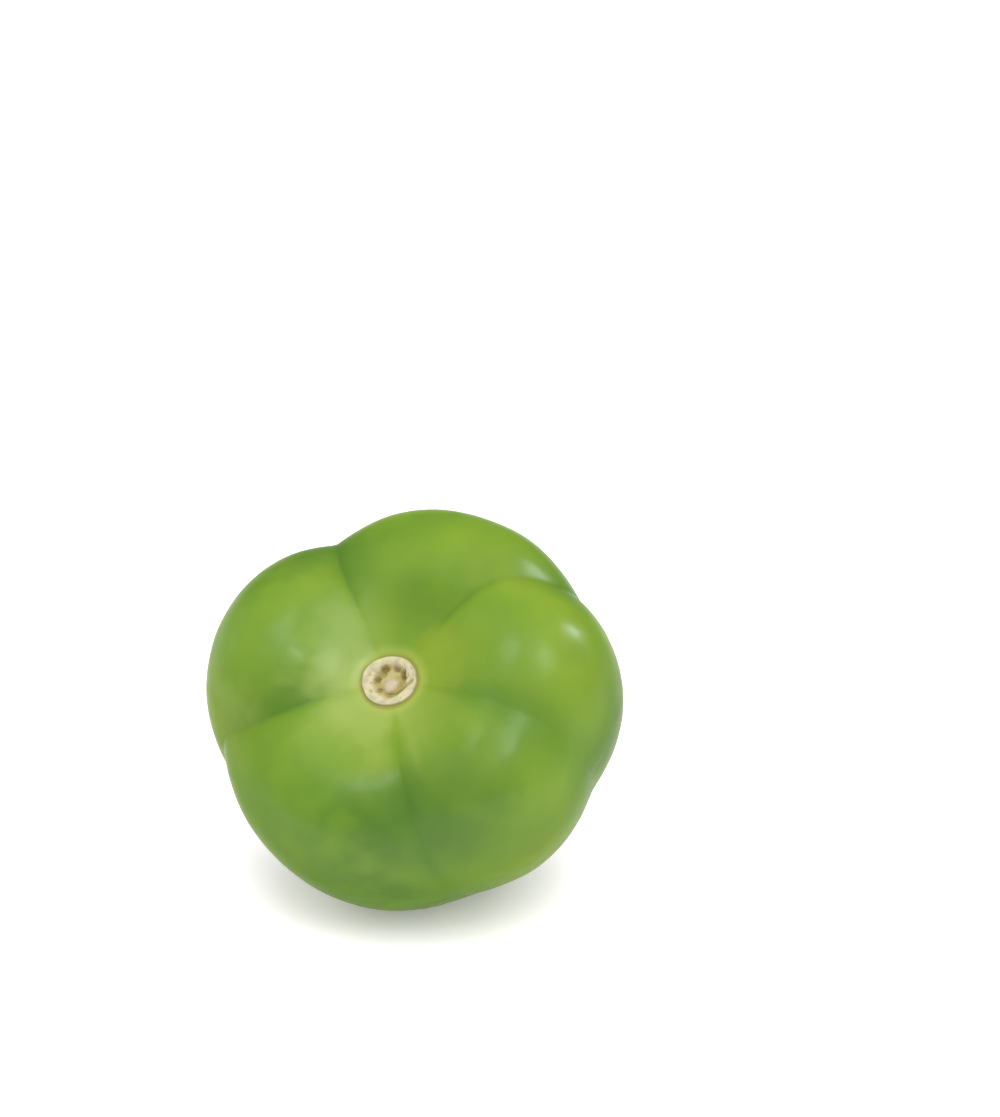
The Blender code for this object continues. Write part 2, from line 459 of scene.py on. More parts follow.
def cloud(place, scale, detail=2.0, seed=0.0):
    """Soft noise from 0 to 1 at a place, with as many lumps to the metre as the scale says."""
    inputs = {"Vector": place, "W": seed, "Scale": scale, "Detail": detail}
    return Field(add_node(place.tree, "ShaderNodeTexNoise", inputs, noise_dimensions="4D").outputs[0])


def start_group(kind, name, inputs, outputs):
    """An empty node group with named sockets: its tree, its inputs as fields by name, and its output node."""
    tree = bpy.data.node_groups.new(name, kind)
    for socket_name, default in inputs.items():
        if isinstance(default, str):
            tree.interface.new_socket(socket_name, in_out="INPUT", socket_type=default)
        else:
            socket_type = SOCKET_KINDS[type(default)]
            socket = tree.interface.new_socket(socket_name, in_out="INPUT", socket_type=socket_type)
            socket.default_value = default
    for socket_name, socket_type in outputs.items():
        tree.interface.new_socket(socket_name, in_out="OUTPUT", socket_type=socket_type)
    given = {socket.name: Field(socket) for socket in tree.nodes.new("NodeGroupInput").outputs if socket.name}
    return tree, given, tree.nodes.new("NodeGroupOutput")


def use_group(tree, group, inputs=None):
    """Places a group in a tree and gives its outputs as fields by name."""
    kind = "GeometryNodeGroup" if tree.bl_idname == "GeometryNodeTree" else "ShaderNodeGroup"
    node = add_node(tree, kind, inputs, node_tree=group)
    return {socket.name: Field(socket) for socket in node.outputs}


def geometry_node(geometry, kind, inputs=None, **settings):
    """Passes a geometry through one more node."""
    node = add_node(geometry.tree, kind, inputs, **settings)
    plug(geometry, node.inputs[0])
    return Field(node.outputs[0])


def grid(tree, columns, rings):
    """A flat mesh one metre square, and the x and y of its points from -0.5 to 0.5."""
    counts = {"Size X": 1.0, "Size Y": 1.0, "Vertices X": columns, "Vertices Y": rings}
    mesh = Field(add_node(tree, "GeometryNodeMeshGrid", counts).outputs["Mesh"])
    x, y, _ = parts_of(position(tree))
    return mesh, x, y


def position(tree):
    return Field(add_node(tree, "GeometryNodeInputPosition").outputs[0])


def store(geometry, name, value, kind="FLOAT"):
    inputs = {"Name": name, "Value": value}
    return geometry_node(geometry, "GeometryNodeStoreNamedAttribute", inputs, data_type=kind, domain="POINT")


def attribute(tree, name, kind="FLOAT"):
    """A value that was stored on a piece, read in its material or further down its own tree."""
    if tree.bl_idname == "ShaderNodeTree":
        output = "Vector" if kind == "FLOAT_VECTOR" else "Fac"
        return Field(add_node(tree, "ShaderNodeAttribute", attribute_name=name).outputs[output])
    return Field(add_node(tree, "GeometryNodeInputNamedAttribute", {"Name": name}, data_type=kind).outputs[0])


def make_turned_body():
    """Radius and height of the turned body at a polar angle."""
    inputs = {
        "Polar": 0.0,
        "Body Radius": BODY_RADIUS,
        "Stem Height": STEM_HEIGHT,
        "Blossom Height": BLOSSOM_HEIGHT,
        "Stem Fullness": STEM_FULLNESS,
        "Blossom Fullness": BLOSSOM_FULLNESS,
        "Hollow Depth": HOLLOW_DEPTH,
        "Hollow Radius": HOLLOW_RADIUS,
        "Dimple Depth": DIMPLE_DEPTH,
        "Dimple Radius": DIMPLE_RADIUS,
    }
    outputs = {"Radius": NUMBER, "Height": NUMBER}
    tree, given, results = start_group("GeometryNodeTree", "turned body", inputs, outputs)
    sine = calculate("MAXIMUM", calculate("SINE", given["Polar"]), 0.0)
    cosine = calculate("COSINE", given["Polar"])
    stem_half = calculate("GREATER_THAN", cosine, 0.0)
    fullness = blend(stem_half, given["Blossom Fullness"], given["Stem Fullness"])
    radius = given["Body Radius"] * sine ** (2.0 / fullness)
    reach = calculate("ABSOLUTE", cosine) ** (2.0 / fullness)
    hollow = given["Hollow Depth"] * bell(radius, 0.0, given["Hollow Radius"])
    dimple = given["Dimple Depth"] * bell(radius, 0.0, given["Dimple Radius"])
    above = given["Stem Height"] * reach - hollow
    below = dimple - given["Blossom Height"] * reach
    plug(radius, results.inputs["Radius"])
    plug(blend(stem_half, below, above), results.inputs["Height"])
    return tree


def make_lobe(turned_body):
    """The skin of one lobe, from the groove that it starts at to the next one and from pole to pole."""
    inputs = {"Columns": COLUMNS_PER_LOBE, "Rings": RINGS}
    for trait in AT_EACH_GROOVE:
        inputs["Start " + trait] = 0.0
        inputs["End " + trait] = 0.0
    inputs.update({
        "Bulge": 0.002,
        "Rise": 0.8,
        "First Shade": 0.0,
        "Last Shade": 0.0,
        "Roundness": LOBE_ROUNDNESS,
        "Lip Height": LIP_HEIGHT,
        "Lip Radius": LIP_RADIUS,
        "Lip Width": LIP_WIDTH,
        "Sink Depth": SINK_DEPTH,
    })
    tree, given, results = start_group("GeometryNodeTree", "lobe", inputs, {"Skin": GEOMETRY})
    skin, x, y = grid(tree, given["Columns"], given["Rings"])
    evenly = x + 0.5
    across = evenly - GROOVE_CROWDING / math.tau * calculate("SINE", math.tau * evenly)
    polar = math.pi * (0.5 - y) ** RING_CROWDING
    here = {trait: blend(across, given["Start " + trait], given["End " + trait]) for trait in AT_EACH_GROOVE}

    far = smooth_step(polar, DRIFT_START, DRIFT_END)
    bearing = here["Groove"] + here["Drift"] * far + here["Bow"] * bell(polar, SHOULDER, SHOULDER_WIDTH)
    azimuth = calculate("RADIANS", bearing)

    around = calculate("MAXIMUM", calculate("SINE", math.pi * across), 0.0) ** given["Roundness"]
    softness = blend(far, here["Near"], here["Far"])
    arch = (length_of(around, softness) - softness) / (length_of(softness, 1.0) - softness)
    floor = here["Floor"] * smooth_step(polar, FLOOR_START, FLOOR_END)
    coming_up = smooth_step((polar - here["Begin"]) / given["Rise"])
    dying_away = smooth_step(math.pi - polar, 0.0, LOBE_END_RUN)
    bulge = dying_away * (given["Bulge"] * coming_up * arch + floor * (1.0 - arch))

    body = use_group(tree, turned_body, {"Polar": polar})
    before = use_group(tree, turned_body, {"Polar": calculate("MAXIMUM", polar - POLAR_STEP, 0.0)})
    after = use_group(tree, turned_body, {"Polar": calculate("MINIMUM", polar + POLAR_STEP, math.pi)})
    out_radius = before["Height"] - after["Height"]
    out_height = after["Radius"] - before["Radius"]
    reach = bulge / length_of(out_radius, out_height)

    cosine, sine = calculate("COSINE", azimuth), calculate("SINE", azimuth)
    stem_end = smooth_step(polar, STEM_END_START, STEM_END_FULL)
    from_scar = body["Radius"] - SCAR_MIDDLE[1] * sine
    lip = stem_end * given["Lip Height"] * bell(from_scar, given["Lip Radius"], given["Lip Width"])
    sunk = stem_end * given["Sink Depth"] * smooth_step(from_scar, SINK_START, SINK_END)
    radius = body["Radius"] + out_radius * reach
    height = body["Height"] + out_height * reach + lip - sunk
    place = vector_of(tree, radius * cosine, radius * sine, height)

    past_begin = polar - here["Begin"]
    # Painted shade and painted light beside the grooves, and painted shade along the creases, for the skin's
    # green.
    first = given["First Shade"] * smooth_step(across, SHADE_WIDTH, 0.0)
    last = given["Last Shade"] * smooth_step(across, 1.0 - SHADE_WIDTH, 1.0)
    shaded = smooth_step(past_begin / SHADE_RUN_IN) * smooth_step(polar, SHADE_FADE_END, SHADE_FADE_START)
    creased = smooth_step(past_begin / CREASE_RUN_IN) * smooth_step(softness, CREASE_SOFTEST, CREASE_SHARPEST)
    skin = store(skin, "polar", polar)
    skin = store(skin, "valley", 1.0 - smooth_step(around, 0.0, VALLEY_EDGE))
    skin = store(skin, "shade", (first + last) * shaded)
    skin = store(skin, "crease", bell(around, 0.0, CREASE_WIDTH) * creased)
    skin = store(skin, "bearing", vector_of(tree, cosine, sine, polar), "FLOAT_VECTOR")
    skin = geometry_node(skin, "GeometryNodeSetPosition", {"Position": place})
    plug(skin, results.inputs["Skin"])
    return tree


def make_set_down():
    """Leans a piece over, sets it down on the table and presses it softly flat where it rests."""
    inputs = {
        "Piece": GEOMETRY,
        "Lean": math.pi / 2 - STEM_ELEVATION,
        "Centre": CENTRE,
        "Softness": REST_SOFTNESS,
        "Material": MATERIAL,
    }
    tree, given, results = start_group("GeometryNodeTree", "set down", inputs, {"Piece": GEOMETRY})
    here = position(tree)
    piece = store(given["Piece"], "fruit_place", here, "FLOAT_VECTOR")
    turning = {"Vector": here, "Angle": given["Lean"]}
    leant = Field(add_node(tree, "ShaderNodeVectorRotate", turning, rotation_type="X_AXIS").outputs[0])
    x, y, z = parts_of(vector_sum(leant, given["Centre"]))
    soft = given["Softness"]
    pressed = squared(calculate("MAXIMUM", z + soft, 0.0)) / (4.0 * soft)
    settled = blend(calculate("GREATER_THAN", z, soft), pressed, z)
    piece = geometry_node(piece, "GeometryNodeSetPosition", {"Position": vector_of(tree, x, y, settled)})
    piece = geometry_node(piece, "GeometryNodeSetShadeSmooth")
    piece = geometry_node(piece, "GeometryNodeRealizeInstances")
    piece = geometry_node(piece, "GeometryNodeSetMaterial", {"Material": given["Material"]})
    plug(piece, results.inputs["Piece"])
    return tree


def make_skin(lobe, set_down):
    """All the lobes joined along their grooves, with the slight unevenness of grown skin."""
    inputs = {"Wave Height": WAVE_HEIGHT, "Ripple Height": RIPPLE_HEIGHT, "Seed": 3.0, "Material": MATERIAL}
    tree, given, results = start_group("GeometryNodeTree", "fruit skin", inputs, {"Skin": GEOMETRY})
    join = add_node(tree, "GeometryNodeJoinGeometry")
    for index, start in enumerate(LOBES):
        end = LOBES[(index + 1) % len(LOBES)]
        sizes = {
            "Bulge": start.bulge,
            "Rise": start.rise,
            "First Shade": start.first,
            "Last Shade": start.last,
        }
        for trait in AT_EACH_GROOVE:
            sizes["Start " + trait] = getattr(start, trait.lower())
            sizes["End " + trait] = getattr(end, trait.lower())
        sizes["End Groove"] = start.groove + (end.groove - start.groove) % 360.0
        plug(use_group(tree, lobe, sizes)["Skin"], join.inputs[0])
    skin = geometry_node(Field(join.outputs[0]), "GeometryNodeMergeByDistance", {"Distance": WELD})
    here = position(tree)
    rise = given["Wave Height"] * (cloud(here, WAVES, 1.0, given["Seed"]) - 0.5)
    rise = rise + given["Ripple Height"] * (cloud(here, RIPPLES, 2.0, given["Seed"]) - 0.5)
    for swelling in SWELLINGS:
        rise = rise + swelling.height * bell(distance_between(here, swelling.middle), 0.0, swelling.radius)
    normal = Field(add_node(tree, "GeometryNodeInputNormal").outputs[0])
    offset = add_node(tree, "ShaderNodeVectorMath", {0: normal, "Scale": rise}, operation="SCALE")
    skin = geometry_node(skin, "GeometryNodeSetPosition", {"Offset": Field(offset.outputs[0])})
    skin = use_group(tree, set_down, {"Piece": skin, "Material": given["Material"]})["Piece"]
    plug(skin, results.inputs["Skin"])
    return tree


def make_disc():
    """A round mesh folded into a top and an underside that meet at the edge.

    Its attributes say where on it a point is: turn, from 0 to 1 round it, reach, from 0 in the middle to 1 at
    the edge, and under, which is 1 underneath."""
    inputs = {"Columns": 200, "Rings": 92, "Underside": 0.12}
    tree, given, results = start_group("GeometryNodeTree", "disc", inputs, {"Disc": GEOMETRY})
    disc, x, y = grid(tree, given["Columns"], given["Rings"])
    along = 0.5 - y
    top_share = 1.0 - given["Underside"]
    reach = calculate("MINIMUM", along / top_share, (1.0 - along) / given["Underside"])
    disc = store(disc, "turn", x + 0.5)
    disc = store(disc, "reach", calculate("MINIMUM", reach, 1.0))
    disc = store(disc, "under", calculate("GREATER_THAN", along, top_share + 1e-5))
    plug(disc, results.inputs["Disc"])
    return tree


def polar_at(radius, body_radius, fullness):
    """The polar angle at which the turned body has a radius, between its pole and its widest ring."""
    return calculate("ARCSINE", (radius / body_radius) ** (fullness / 2.0))


def beside_line(x, y, start, end):
    """How far a point is from a straight line between two points, and the share of the way along it."""
    run = Vector(end) - Vector(start)
    share = ((x - start[0]) * run[0] + (y - start[1]) * run[1]) / run.length_squared
    share = calculate("MINIMUM", calculate("MAXIMUM", share, 0.0), 1.0)
    return length_of(x - start[0] - share * run[0], y - start[1] - share * run[1]), share


def pit_hole(pit, x, y, lumps):
    """1 at the bottom of a pit and 0 outside it, with a ragged edge."""
    angle = math.radians(pit.bearing)
    away_x, away_y = x - pit.radius * math.cos(angle), y - pit.radius * math.sin(angle)
    outwards = away_x * math.cos(angle) + away_y * math.sin(angle)
    round_it = away_y * math.cos(angle) - away_x * math.sin(angle)
    stretched = length_of(outwards / pit.width, round_it / pit.length) + PIT_RAGGEDNESS * lumps
    return smooth_step(stretched, PIT_EDGE, PIT_FULL)


def make_scar(disc, turned_body, set_down):
    """The corky scar: a raised ring, a sunken middle with a pit for each strand, a core and a crack."""
    inputs = {
        "Radius": SCAR_RADIUS,
        "Ovalness": SCAR_OVALNESS,
        "Corners": SCAR_CORNERS,
        "Wobble": SCAR_WOBBLE,
        "Rim Height": RIM_HEIGHT,
        "Core Height": CORE_HEIGHT,
        "Grain Height": SCAR_GRAIN_HEIGHT,
        "Seed": 5.0,
        "Material": MATERIAL,
    }
    tree, given, results = start_group("GeometryNodeTree", "stem scar", inputs, {"Scar": GEOMETRY})
    scar = use_group(tree, disc)["Disc"]
    azimuth = attribute(tree, "turn") * math.tau
    reach = attribute(tree, "reach")
    under = attribute(tree, "under")
    cosine, sine = calculate("COSINE", azimuth), calculate("SINE", azimuth)
    outline = vector_of(tree, cosine, sine, 0.0)
    uneven = given["Wobble"] * 2.0 * (cloud(outline, SCAR_WOBBLE_LUMPS, 3.0, given["Seed"]) - 0.5)
    uneven = uneven + given["Ovalness"] * calculate("COSINE", azimuth * 2.0)
    uneven = uneven + given["Corners"] * calculate("COSINE", (azimuth + SCAR_CORNER_TURN) * 4.0)
    radius = reach * given["Radius"] * (1.0 + uneven)
    x, y = SCAR_MIDDLE[0] + radius * cosine, SCAR_MIDDLE[1] + radius * sine
    body = use_group(tree, turned_body, {"Polar": polar_at(length_of(x, y), BODY_RADIUS, STEM_FULLNESS)})

    flat_place = vector_of(tree, x, y, 0.0)
    lumps = cloud(flat_place, SCAR_LUMPS, 3.0, given["Seed"]) - 0.5
    grain = cloud(flat_place, SCAR_GRAINS, 2.0, given["Seed"]) - 0.5
    ring = smooth_step(radius + RIM_RAGGEDNESS * lumps, RIM_START, RIM_FULL) * smooth_step(reach, 1.0, 0.92)
    core_distance = length_of(x - CORE_PLACE[0], y - CORE_PLACE[1])
    core = smooth_step(core_distance + CORE_RAGGEDNESS * lumps, CORE_EDGE, CORE_FULL)
    holes = [pit_hole(pit, x, y, lumps) for pit in PITS]
    pits = highest(hole * min(1.0, pit.depth / DARKEST_PIT_DEPTH) for hole, pit in zip(holes, PITS))
    sunk = highest(hole * pit.depth for hole, pit in zip(holes, PITS))
    away, share = beside_line(x, y, *CRACK)
    crack = smooth_step(away + CRACK_RAGGEDNESS * lumps, CRACK_EDGE, CRACK_FULL) * (1.0 - 0.25 * share)
    grained = given["Grain Height"] * grain * smooth_step(reach, 1.0, 0.9)
    relief = given["Rim Height"] * ring * (1.0 + 0.7 * lumps) + given["Core Height"] * core
    relief = relief + grained - sunk - CRACK_DEPTH * crack
    edge = -SCAR_EDGE_DROP * smooth_step(reach, 0.95, 1.0)
    underside = -SCAR_EDGE_DROP - SCAR_ROOT * smooth_step(reach, 1.0, 0.6)
    height = body["Height"] + blend(under, relief + edge, underside)

    for name, mask in (("ring", ring), ("core", core), ("pits", pits), ("crack", crack)):
        scar = store(scar, name, mask)
    scar = geometry_node(scar, "GeometryNodeSetPosition", {"Position": vector_of(tree, x, y, height)})
    scar = geometry_node(scar, "GeometryNodeMergeByDistance", {"Distance": WELD})
    scar = use_group(tree, set_down, {"Piece": scar, "Material": given["Material"]})["Piece"]
    plug(scar, results.inputs["Scar"])
    return tree


def make_blossom_mark(disc, turned_body, set_down):
    """The dry brown speck where the blossom fell off, a little proud of the skin with a sunken middle."""
    inputs = {"Radius": MARK_RADIUS, "Height": MARK_HEIGHT, "Seed": 9.0, "Material": MATERIAL}
    tree, given, results = start_group("GeometryNodeTree", "blossom mark", inputs, {"Mark": GEOMETRY})
    mark = use_group(tree, disc, {"Columns": 96, "Rings": 40, "Underside": 0.2})["Disc"]
    azimuth = attribute(tree, "turn") * -math.tau
    reach = attribute(tree, "reach")
    under = attribute(tree, "under")
    cosine, sine = calculate("COSINE", azimuth), calculate("SINE", azimuth)
    ragged = cloud(vector_of(tree, cosine, sine, 0.0), 1.8, 3.0, given["Seed"]) - 0.5
    radius = reach * given["Radius"] * (1.0 + 0.5 * ragged)
    x, y = radius * cosine, radius * sine
    polar = math.pi - polar_at(radius, BODY_RADIUS, BLOSSOM_FULLNESS)
    body = use_group(tree, turned_body, {"Polar": polar})
    lumps = cloud(vector_of(tree, x, y, 0.0), MARK_LUMPS, 2.0, given["Seed"]) - 0.5
    dome = smooth_step(reach, 1.0, 0.6) * (1.0 - 0.7 * bell(reach, 0.0, 0.3)) * (1.0 + 0.8 * lumps)
    top = given["Height"] * dome - MARK_SINK
    height = body["Height"] - blend(under, top, -MARK_SINK - MARK_ROOT * smooth_step(reach, 1.0, 0.5))
    mark = geometry_node(mark, "GeometryNodeSetPosition", {"Position": vector_of(tree, x, y, height)})
    mark = geometry_node(mark, "GeometryNodeMergeByDistance", {"Distance": WELD})
    mark = use_group(tree, set_down, {"Piece": mark, "Material": given["Material"]})["Piece"]
    plug(mark, results.inputs["Mark"])
    return tree


def grow(name, tree, material):
    """Runs a tree on an empty mesh and keeps its result as a plain mesh."""
    piece = bpy.data.objects.new(name, bpy.data.meshes.new(name + "_seed"))
    bpy.context.scene.collection.objects.link(piece)
    modifier = piece.modifiers.new("grow", "NODES")
    modifier.node_group = tree
    modifier[tree.interface.items_tree["Material"].identifier] = material
    depsgraph = bpy.context.evaluated_depsgraph_get()
    grown = bpy.data.meshes.new_from_object(piece.evaluated_get(depsgraph), depsgraph=depsgraph)
    piece.modifiers.remove(modifier)
    piece.data = grown
    grown.name = name
    return piece


def make_mottling():
    """Uneven growth: soft patches and a finer grain, both from 0 to 1, at sizes given in metres."""
    inputs = {"Place": Vector(), "Patch Size": 0.01, "Grain Size": 0.001, "Seed": 0.0}
    outputs = {"Patches": NUMBER, "Grain": NUMBER}
    tree, given, results = start_group("ShaderNodeTree", "mottling", inputs, outputs)
    patches = cloud(given["Place"], 1.0 / given["Patch Size"], 2.0, given["Seed"])
    grain = cloud(given["Place"], 1.0 / given["Grain Size"], 3.0, given["Seed"] + 7.0)
    plug(smooth_step(patches, 0.30, 0.70), results.inputs["Patches"])
    plug(smooth_step(grain, 0.25, 0.75), results.inputs["Grain"])
    return tree


def mottle(tree, mottling, place, patch_size, grain_size, seed):
    inputs = {"Place": place, "Patch Size": patch_size, "Grain Size": grain_size, "Seed": seed}
    return use_group(tree, mottling, inputs)


def make_specks():
    """Scattered specks, 1 in the middle of each, at a spacing and radius given in metres."""
    inputs = {"Place": Vector(), "Spacing": 0.0015, "Radius": 0.0002}
    tree, given, results = start_group("ShaderNodeTree", "specks", inputs, {"Specks": NUMBER})
    cell_inputs = {"Vector": given["Place"], "Scale": 1.0 / given["Spacing"]}
    cells = add_node(tree, "ShaderNodeTexVoronoi", cell_inputs)
    size = parts_of(Field(cells.outputs["Color"]))[0]
    edge = given["Radius"] / given["Spacing"] * (0.4 + size)
    plug(smooth_step(Field(cells.outputs["Distance"]) / edge, 1.0, 0.3), results.inputs["Specks"])
    return tree


def make_painted_patch():
    """1 in the middle of a patch of painted shade and light, with a ragged edge, falling away around it."""
    inputs = {"Place": Vector(), "Middle": Vector(), "Radius": 0.005, "Raggedness": 0.0}
    tree, given, results = start_group("ShaderNodeTree", "painted_patch", inputs, {"PaintedPatch": NUMBER})
    away = distance_between(given["Place"], given["Middle"])
    plug(bell(away * (1.0 + given["Raggedness"]), 0.0, given["Radius"]), results.inputs["PaintedPatch"])
    return tree


def toward(east, north, bearing):
    """1 where a point faces a bearing, and -1 where it faces away."""
    return east * math.cos(math.radians(bearing)) + north * math.sin(math.radians(bearing))


def start_material(name):
    """A new material: its tree, and its Principled shader."""
    material = bpy.data.materials.new(name)
    material.use_nodes = True
    return material, material.node_tree, material.node_tree.nodes["Principled BSDF"]


def bump(tree, height):
    """The normal of a surface with a relief given in metres."""
    inputs = {"Height": height, "Distance": 1.0, "Strength": 1.0}
    return Field(add_node(tree, "ShaderNodeBump", inputs).outputs[0])


def green_with_painted_light_and_shade(tree, place, growth, fine, painted_patch):
    """The green of the lobes: patchy, with painted shade and light beside and in the grooves, and in patches.
    """
    polar = attribute(tree, "polar")
    valley = attribute(tree, "valley")
    shade = attribute(tree, "shade")
    green = blend_colour(0.35 + 0.5 * growth["Patches"], DEEP_GREEN, LEAF_GREEN)
    yellowing = smooth_step(growth["Patches"] + 0.5 * fine["Patches"] - 1.1 * valley, 0.5, 1.3)
    green = blend_colour(0.25 * yellowing, green, YELLOW_GREEN)
    # Painted shade: a deeper green down in the valleys, which the line above also keeps from yellowing.
    green = blend_colour(0.4 * valley * smooth_step(polar, 0.25, 0.7), green, DEEP_GREEN)
    # Painted shade beside some grooves and painted light beside others.
    green = blend_colour(calculate("MAXIMUM", shade, 0.0), green, SHADE_GREEN)
    green = blend_colour(calculate("MAXIMUM", -shade, 0.0), green, PAINTED_LIGHT_GREEN)
    # Painted shade along the creases.
    green = blend_colour(0.5 * attribute(tree, "crease"), green, GROOVE_SHADE_GREEN)
    ragged = 0.5 * (fine["Patches"] + growth["Patches"] - 1.0)
    # Patches of painted shade and painted light.
    for patch in PAINTED_SHADE_AND_LIGHT:
        inputs = {"Place": place, "Middle": patch.middle, "Radius": patch.radius, "Raggedness": ragged}
        green = blend_colour(patch.strength * use_group(tree, painted_patch, inputs)["PaintedPatch"], green, patch.green)
    return green


def haloed_green(tree, green, fine):
    """Adds the halo round the stem, which reaches further out along its streaks."""
    polar = attribute(tree, "polar")
    east, north, _ = parts_of(attribute(tree, "bearing", "FLOAT_VECTOR"))
    streaks = cloud(vector_of(tree, east * 9.0, north * 9.0, polar * 1.6), 1.0, 3.0, 1.0)
    edge = polar + 0.18 * (streaks - 0.5) + 0.12 * (fine["Patches"] - 0.5) + 0.2 * attribute(tree, "valley")
    pale_side = smooth_step(toward(east, north, PALE_BEARING), -0.9, 0.9)
    yellow_side = smooth_step(toward(east, north, YELLOW_BEARING), -0.3, 0.9)
    green = blend_colour(0.65 * yellow_side * smooth_step(edge, 0.75, 0.15), green, YELLOW_GREEN)
    return blend_colour(0.85 * pale_side * smooth_step(edge, 0.62, 0.10), green, HALO_GREEN)


def collared_green(tree, place, green, fine):
    """Adds the pale collar round the scar, and the brown line where cork meets skin, which is partly painted
    shade.
    """
    east, north, _ = parts_of(attribute(tree, "bearing", "FLOAT_VECTOR"))
    x, y, _ = parts_of(place)
    from_middle_x = (x - SCAR_MIDDLE[0]) * (1.0 - SCAR_OVALNESS)
    from_middle_y = (y - SCAR_MIDDLE[1]) * (1.0 + SCAR_OVALNESS)
    ring = length_of(from_middle_x, from_middle_y) + COLLAR_RAGGEDNESS * (fine["Patches"] - 0.5)
    near_stem = smooth_step(attribute(tree, "polar"), 1.0, 0.8)
    green = blend_colour(0.6 * near_stem * smooth_step(ring, COLLAR_EDGE, COLLAR_FULL), green, COLLAR_GREEN)
    # Painted shade: the brown line reaches further out towards the scar's shaded side.
    ring = ring - BROWN_SHIFT * toward(east, north, SHADED_SIDE_BEARING)
    return blend_colour(0.65 * near_stem * smooth_step(ring, BROWN_EDGE, BROWN_FULL), green, SCAR_EDGE_BROWN_AND_SHADE)


def skin_material(mottling, specks, painted_patch):
    material, tree, shader = start_material("waxy green skin")
    place = attribute(tree, "fruit_place", "FLOAT_VECTOR")
    growth = mottle(tree, mottling, place, 0.013, 0.0011, 2.0)
    fine = mottle(tree, mottling, place, 0.0042, 0.00035, 4.0)
    specked = use_group(tree, specks, {"Place": place, "Spacing": 0.0016, "Radius": 0.00016})["Specks"]
    green = green_with_painted_light_and_shade(tree, place, growth, fine, painted_patch)
    green = haloed_green(tree, green, fine)
    green = blend_colour(0.14 * specked, green, SPECK_GREEN)
    green = collared_green(tree, place, green, fine)
    plug(green, shader.inputs["Base Color"])
    plug(0.285 + 0.04 * growth["Grain"] + 0.05 * fine["Patches"], shader.inputs["Roughness"])
    relief = 0.000003 * growth["Grain"] + 0.0000006 * fine["Grain"] + 0.000002 * specked
    plug(bump(tree, relief), shader.inputs["Normal"])

    # The wax shines where it is looked at squarely. It is duller in the grooves and where it is rubbed.
    facing = Field(add_node(tree, "ShaderNodeLayerWeight").outputs["Facing"])
    in_groove = 0.6 * smooth_step(attribute(tree, "valley"), 0.5, 0.95)
    waxy = 1.0 - in_groove * smooth_step(attribute(tree, "polar"), 1.0, 0.6)
    for rubbed in RUBBED:
        worn = bell(distance_between(place, rubbed.middle), 0.0, rubbed.radius)
        waxy = waxy * (1.0 - rubbed.dullness * worn)
    shine = waxy * (WAX_SHINE - WAX_SHINE_LOSS * smooth_step(facing, 0.12, 0.65))
    plug(shine, shader.inputs["Specular IOR Level"])
    shader.inputs["Specular IOR Level"].default_value = WAX_PLAIN_SHINE
    shader.inputs["Subsurface Weight"].default_value = FLESH_GLOW
    shader.inputs["Subsurface Radius"].default_value = FLESH_GLOW_COLOUR
    shader.inputs["Subsurface Scale"].default_value = FLESH_GLOW_DEPTH
    return material


def cork_material(mottling, specks):
    material, tree, shader = start_material("dry cork")
    place = attribute(tree, "fruit_place", "FLOAT_VECTOR")
    lumps = mottle(tree, mottling, place, 0.0010, 0.00022, 6.0)
    shades = mottle(tree, mottling, place, 0.0013, 0.0005, 8.0)
    cork = blend_colour(lumps["Patches"], CREAM, PINK_CREAM)
    cork = blend_colour(0.7 * smooth_step(shades["Patches"], 0.25, 1.0), cork, GREY_CORK)
    cork = blend_colour(0.45 * smooth_step(shades["Grain"], 0.4, 1.0), cork, YELLOW_CORK)
    core = attribute(tree, "core")
    middle = 1.0 - calculate("MAXIMUM", attribute(tree, "ring"), core)
    cork = blend_colour(0.6 * middle, cork, OCHRE)
    cork = blend_colour(0.8 * core, cork, CORE_PINK)
    strand = blend_colour(shades["Patches"], STRAND_BROWN, STRAND_OLIVE)
    x, y, _ = parts_of(place)
    band = bell(length_of(x, y), STRAND_RADIUS, STRAND_WIDTH) * (1.0 - core)
    cork = blend_colour(band * (0.25 + 0.3 * shades["Patches"]), cork, strand)
    cork = blend_colour(0.95 * attribute(tree, "pits"), cork, strand)
    cork = blend_colour(0.8 * attribute(tree, "crack"), cork, strand)
    cork = blend_colour(0.6 * smooth_step(attribute(tree, "reach"), 0.90, 1.0), cork, STRAND_OLIVE)
    specked = use_group(tree, specks, {"Place": place, "Spacing": 0.0011, "Radius": 0.00024})["Specks"]
    cork = blend_colour(0.6 * specked, cork, SPECK_BROWN)
    plug(cork, shader.inputs["Base Color"])
    plug(0.75 + 0.15 * lumps["Grain"], shader.inputs["Roughness"])
    plug(bump(tree, 0.00003 * lumps["Grain"] - 0.00002 * specked), shader.inputs["Normal"])
    shader.inputs["Specular IOR Level"].default_value = CORK_SHINE
    return material


def mark_material(mottling):
    material, tree, shader = start_material("dry blossom mark")
    place = attribute(tree, "fruit_place", "FLOAT_VECTOR")
    dry = mottle(tree, mottling, place, 0.0005, 0.00012, 3.0)
    edge = smooth_step(attribute(tree, "reach"), 0.5, 1.0)
    brown = blend_colour(0.7 * dry["Patches"], MARK_BROWN, MARK_TAN)
    plug(blend_colour(0.6 * edge, brown, MARK_TAN), shader.inputs["Base Color"])
    plug(0.7 + 0.2 * dry["Grain"], shader.inputs["Roughness"])
    plug(bump(tree, 0.00002 * dry["Grain"]), shader.inputs["Normal"])
    return material


